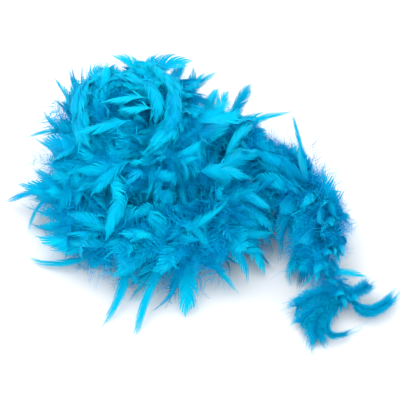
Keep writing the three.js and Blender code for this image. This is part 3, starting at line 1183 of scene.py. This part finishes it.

# %% [markdown]
# ## The fan over the shoulder
# Broad flats lean out over the shoulder and the low front, and a few lie over the crown. Each
# is given one by one, since each shows by itself.

# %% The fan over the shoulder
# broad feathers of the fan: root, bend, tip and width, in millimetres
FAN = [
    ((-17, 92, 112), (14, 118, 138), (42, 150, 114), 26),
    ((7, 74, 104), (30, 104, 128), (57, 140, 106), 24),
    ((30, 58, 92), (52, 88, 112), (74, 124, 94), 22),
    ((18, 36, 92), (52, 60, 112), (90, 92, 74), 26),
    ((-24, 60, 122), (-2, 76, 140), (30, 98, 122), 24),
    ((-4, 30, 104), (30, 30, 122), (70, 34, 84), 26),
    ((0, 110, 108), (14, 146, 126), (26, 178, 110), 18),
    ((14, 104, 100), (30, 142, 120), (40, 174, 108), 22),
    ((50, 140, 80), (76, 160, 80), (95, 154, 70), 20),
    ((60, -20, 44), (84, -48, 34), (88, -72, 8), 24),
    ((92, 12, 44), (114, -16, 34), (116, -46, 8), 24),
    ((76, 0, 44), (98, -20, 34), (101, -42, 8), 28),
    ((40, -20, 50), (56, -50, 36), (58, -72, 8), 26),
    ((-30, 130, 120), (-10, 170, 136), (8, 200, 120), 16),
    ((-50, 140, 130), (-34, 180, 146), (-20, 204, 136), 18),
    ((-80, 150, 145), (-74, 185, 158), (-62, 204, 150), 18),
    ((-95, 75, 160), (-130, 70, 164), (-168, 62, 150), 20),
    ((-70, 110, 166), (-100, 120, 170), (-135, 100, 168), 26),
    ((-64, 92, 164), (-84, 100, 168), (-112, 86, 168), 24),
    ((-60, 126, 166), (-82, 140, 168), (-112, 138, 168), 24),
    ((-140, 0, 44), (-172, -6, 48), (-200, -12, 16), 30),
    ((-136, -24, 40), (-160, -34, 44), (-182, -40, 12), 28),
    ((-128, -46, 62), (-152, -44, 92), (-182, -20, 74), 28),
    ((-72, -16, 82), (-62, -44, 98), (-44, -64, 58), 28),
    ((-30, -30, 72), (-8, -50, 92), (18, -66, 44), 26),
    ((-150, 10, 84), (-176, 20, 108), (-206, 40, 84), 26),
    ((-100, 0, 100), (-112, -30, 116), (-128, -62, 72), 26),
    ((-96, 40, 118), (-124, 18, 134), (-150, -8, 98), 26),
]
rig.ride(flats("fan", rows_of(FAN)), "heap")
print(len(FAN), "flats in the fan")

# %% [markdown]
# ## The closed eye of the coil
# The feathers of the upper turn's inner side wind round and close the middle of the coil, so
# they are drawn on a low dome, each a little further round than the quill it starts from.

# %% The closed eye of the coil
EYE_AT = np.array((-102, 106, 146)) * MM
EYE_RADIUS = 0.056
EYE_SAG = 0.026
EYE_FEATHERS = 150
EYE_BEND_TURN = 0.6
EYE_BEND_IN = 0.95
EYE_TIP_TURNS = (0.7, 1.4)
EYE_TIP_IN = 0.8
EYE_TIP_SPREAD = 0.011
EYE_WIDTHS = (0.022, 0.036)
EYE_TWIST = 0.5


def winding(turn, radius, heights):
    """Points on the low dome over the coil's eye, at random heights."""
    height = rng.uniform(*heights, EYE_FEATHERS) - EYE_SAG * (radius / EYE_RADIUS) ** 2
    return EYE_AT + np.stack([np.cos(turn) * radius, np.sin(turn) * radius, height], axis=1)


turn = rng.uniform(0, 2 * math.pi, EYE_FEATHERS)
radius = EYE_RADIUS * np.sqrt(rng.uniform(0.05, 1.0, EYE_FEATHERS))
root = winding(turn, radius, (-0.030, -0.008))
bend = winding(turn - EYE_BEND_TURN, radius * EYE_BEND_IN, (0.0, 0.010))
tip_turn = turn - rng.uniform(*EYE_TIP_TURNS, EYE_FEATHERS)
tip = winding(tip_turn, radius * EYE_TIP_IN, (-0.006, 0.012))
tip += rng.normal(0, EYE_TIP_SPREAD, tip.shape)
across = unit(np.cross(tip - root, UP))
width = rng.uniform(*EYE_WIDTHS, EYE_FEATHERS)
eye = (root, bend, tip, across, width, rng.normal(0, EYE_TWIST, EYE_FEATHERS))
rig.ride(flats("eye", eye), "heap")
print(EYE_FEATHERS, "flats wind over the coil's eye")

# %% [markdown]
# ## The eye's down
# Under the eye's flats lies down that follows them: two plumes for each, moved by chance, a
# little lower and wider.

# %% The eye's down
EYE_DOWN_SPREAD = 0.009
EYE_DOWN_LOWER = (0.0, 0.0, 0.010)
EYE_DOWN_WIDER = 1.5

*ends, across, width, twist = [np.repeat(part, 2, axis=0) for part in eye]
ends = [place + rng.normal(0, EYE_DOWN_SPREAD, place.shape) - EYE_DOWN_LOWER for place in ends]
eye_down = (*ends, across, width * EYE_DOWN_WIDER, twist)
print(len(width), "plumes for the coil's eye")

# %% [markdown]
# ## Low flats at the tail
# A few broad flats of the tail hang down towards the heap and cover the gap between them.

# %% Low flats at the tail
LOW_VANES = [
    ((178, 0, 50), (140, 0, 84), (138, -72, 14), 38),
    ((186, -30, 48), (150, -34, 70), (118, -70, 12), 28),
    ((176, 20, 50), (118, 22, 72), (110, -50, 12), 36),
    ((160, 50, 48), (112, 44, 66), (96, -26, 14), 32),
]
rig.ride(flats("low", rows_of(LOW_VANES), VANES[:3]), "tail_mid")
print(len(LOW_VANES), "low flats")

# %% [markdown]
# ## The down
# Under the flats the barbs are long, loose and fluffy. Short plumes fill the middle and
# make the soft fur that shows between the flats and along the outline.

# %% The down
DOWN_PER_METRE = 3000
TAIL_DOWN = 1.2
OUTER_SHARE = 0.7
INNER_SHARE = 0.3


def downs(name, batches):
    """One piece of laid plumes, in the down's finish."""
    piece = join_copies(f"down_{name}", batches, DOWN)
    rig.slot(piece, "down")
    return piece


laid = 0
for stretch, (begin, finish, _, nodes) in STRETCHES.items():
    per_metre = density(stretch, DOWN_PER_METRE, TAIL_DOWN)
    outer = draw_feathers(
        begin, finish, per_metre * OUTER_SHARE, reach=0.84, lean=0.9, width=0.040, roll=0.7
    )
    inner = draw_feathers(
        begin, finish, per_metre * INNER_SHARE, reach=0.5, lean=0.5, width=0.040, roll=0.8
    )
    piece = downs(stretch, deal(DOWNS, outer) + deal(DOWNS, inner))
    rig.replaces(piece, *nodes)
    attach(piece, stretch)
    laid += len(outer[0]) + len(inner[0])
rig.ride(downs("eye", deal(DOWNS, eye_down)), "heap")
print("down plumes round the cord", laid)

# %% [markdown]
# ## How the longest shafts stray
# The solid model holds the feathers that stand out from the heap, each as a plain blade. A
# real shaft doesn't keep to one plain arc, so some bend or end a little off the blade's line.

# %% How the longest shafts stray
# how far, in millimetres, a shaft's bend and its tip lie from where the solid blade has them
NUDGES = {
    "feather_south_strip": ((-56, 8, 0), (0, 0, 0)),
    "feather_south_strip_west": ((62, 4, 0), (12, -6, 0)),
    "feather_south_blunt": ((-8, 0, 0), (-10, 0, 0)),
    "feather_northeast_point": ((-6, -44, -8), (6, -14, -12)),
    "feather_northwest_wedge": ((-8, 0, 0), (0, 0, 0)),
    "feather_northwest_spoon": ((-6, -16, 0), (6, -24, 0)),
    "feather_north_split": ((14, -4, 0), (28, -8, 0)),
    "feather_southeast_point": ((16, 4, 0), (2, 0, 0)),
    "feather_northeast_blunt": ((4, 0, 0), (8, 0, 0)),
    "feather_crown_wide": ((0, -8, -8), (0, -4, -6)),
    "feather_tail_spike": ((-14, 0, 0), (-4, 0, 0)),
    "feather_tail_side": ((-24, 18, 0), (-38, 30, 0)),
    "feather_tail_tip_side": ((-4, -8, 0), (-4, -2, 0)),
    "feather_southwest_curl": ((-14, -6, 0), (0, 10, 0)),
    "feather_west_strip": ((-2, -6, 0), (0, 6, 0)),
    "feather_west_long": ((0, 14, 0), (2, 0, 0)),
    "feather_west_fork": ((-22, 26, 10), (0, 0, 0)),
    "plume_south": ((-28, 18, 0), (-14, 16, 0)),
    "plume_east": ((-2, 2, 0), (-6, 8, 0)),
}
STILL = ((0, 0, 0), (0, 0, 0))
print(len(NUDGES), "shafts stray from their blades")

# %% [markdown]
# ## Reading a blade
# A blade's two points that lie furthest apart are its root and its tip, and the root is the one
# on the cord. Its middle tells how it bends and how wide it is.

# %% Reading a blade
MIDDLE_BAND = 0.08


def read_blade(node):
    """Root, bend, tip, the direction across and the width of a solid blade."""
    places = points_of(bpy.data.objects[node].data)
    apart = np.linalg.norm(places[:, None] - places, axis=2)
    ends = places[list(np.unravel_index(apart.argmax(), apart.shape))]
    near = [np.linalg.norm(line - end, axis=1).min() for end in ends]
    root, tip = ends if near[0] < near[1] else ends[::-1]
    from_root = np.linalg.norm(places - root, axis=1)
    middle = places[np.abs(from_root / from_root.max() - 0.5) < MIDDLE_BAND]
    centre = middle.mean(axis=0)
    ahead = unit(tip - root)
    spread = middle - centre
    spread -= np.outer(spread @ ahead, ahead)
    across = np.linalg.svd(spread)[2][0]
    width = 2 * np.abs(spread @ across).max()
    bend_shift, tip_shift = np.array(NUDGES.get(node, STILL)) * MM
    bend = 2 * centre - (root + tip) / 2 + bend_shift
    return root, bend, tip + tip_shift, across, width


bodies = frame["record"]["behaviour"]["bodies"]
body_of = {node: body for body, nodes in bodies.items() for node in nodes}
blades = sorted(node for node in body_of if node.startswith("feather_"))
print(len(blades), "blades, the widest", max(read_blade(node)[4] for node in blades).round(4), "m")

# %% [markdown]
# ## The longest feathers
# Each blade is replaced by a finer feather with nearly twice the barbs of a short one, which
# starts, bends and ends at those places.

# %% The longest feathers
LONG_WIDER = 1.3
LONG_STRIP_WIDER = 1.6
# the end of a blade's name says how its tip is shaped
TIP_KINDS = {
    "pointed": ("point", "wedge", "front", "side"),
    "strip": ("long", "fork", "strip", "spike", "curl", "west_low"),
    "split": ("split", "back"),
    "blunt": ("blunt", "wide", "broad", "vane"),
}


def tip_kind(node):
    for kind, endings in TIP_KINDS.items():
        if node.endswith(endings):
            return kind
    return "round"


for i, node in enumerate(blades):
    *shaft, width = read_blade(node)
    kind = tip_kind(node)
    pattern = vane_pattern(kind, barbs=26, steps=4, seed=200 + i)
    wider = LONG_STRIP_WIDER if kind == "strip" else LONG_WIDER
    rows = [np.array([row]) for row in (*shaft, width * wider)]
    piece = join_copies(f"long_{node}", [(pattern, bend_copies(pattern, *rows))], VANE)
    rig.replaces(piece, node)
    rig.ride(piece, body_of[node])
    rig.slot(piece, "feather")
print(len(blades), "long feathers")

# %% [markdown]
# ## The two end plumes
# The tail ends in two soft plumes with no flat vane at all. Each is a thin shaft with long
# barbs on every side, so several downy patterns are turned about one shaft.

# %% The two end plumes
PLUME_TURNS = 8
PLUME_FLATNESS = 0.6
PLUME_WIDER = 1.2


def full_plume(shaft, across, width, seed):
    """Downy patterns turned about one shaft, so that barbs stand out on every side."""
    root, bend, tip = shaft
    upward = np.cross(across, unit(tip - root))
    batches = []
    for turn in range(PLUME_TURNS):
        pattern = down_pattern(pairs=56, seed=seed + turn, reach=0.5, steps=3, thick=1.5)
        angle = math.pi * turn / PLUME_TURNS
        turned = across * math.cos(angle) + upward * math.sin(angle) * PLUME_FLATNESS
        rows = [np.array([row]) for row in (root, bend, tip, turned, width)]
        batches.append((pattern, bend_copies(pattern, *rows)))
    return batches


for i, node in enumerate(("plume_east", "plume_south")):
    *shaft, across, width = read_blade(node)
    plume = full_plume(shaft, across, width * PLUME_WIDER, seed=300 + 10 * i)
    piece = join_copies(f"end_{node}", plume, PLUME)
    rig.replaces(piece, node)
    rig.ride(piece, body_of[node])
    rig.slot(piece, "down")
print("two end plumes of", len(plume), "patterns each")

# %% [markdown]
# ## The tuft round them
# Smaller plumes are lashed at the same knot and fill the space between the two long ones.

# %% The tuft round them
# in millimetres: root, bend, tip and how wide
TUFT = [
    ((190, -116, 20), (158, -120, 34), (126, -140, 12), 30),
    ((188, -120, 18), (150, -150, 26), (134, -164, 8), 28),
    ((194, -120, 18), (150, -150, 20), (160, -186, 10), 24),
    ((190, -118, 18), (150, -212, 20), (206, -174, 8), 12),
    ((200, -118, 22), (224, -122, 32), (232, -98, 20), 24),
    ((203, -122, 20), (230, -170, 22), (264, -120, 18), 18),
]

tuft = []
for i, (*places, width) in enumerate(TUFT):
    shaft = [np.array(place) * MM for place in places]
    across = unit(np.cross(shaft[2] - shaft[0], UP))
    tuft += full_plume(shaft, across, width * MM, seed=400 + 10 * i)
piece = join_copies("end_tuft", tuft, PLUME)
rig.ride(piece, "tail_tip")
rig.slot(piece, "down")
print(len(TUFT), "plumes in the tuft")

# %% [markdown]
# ## The size, written down
# Both boxes, of the solid model and of the visual one, are written to extents.json. The
# visual model may stand only a little proud of the solid one.

# %% The size, written down
low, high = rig.bounds()
with open("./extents.json", "w") as file:
    json.dump([list(cad_low), list(cad_high), list(low), list(high)], file)
print("visual model from", tuple(low), "to", tuple(high))
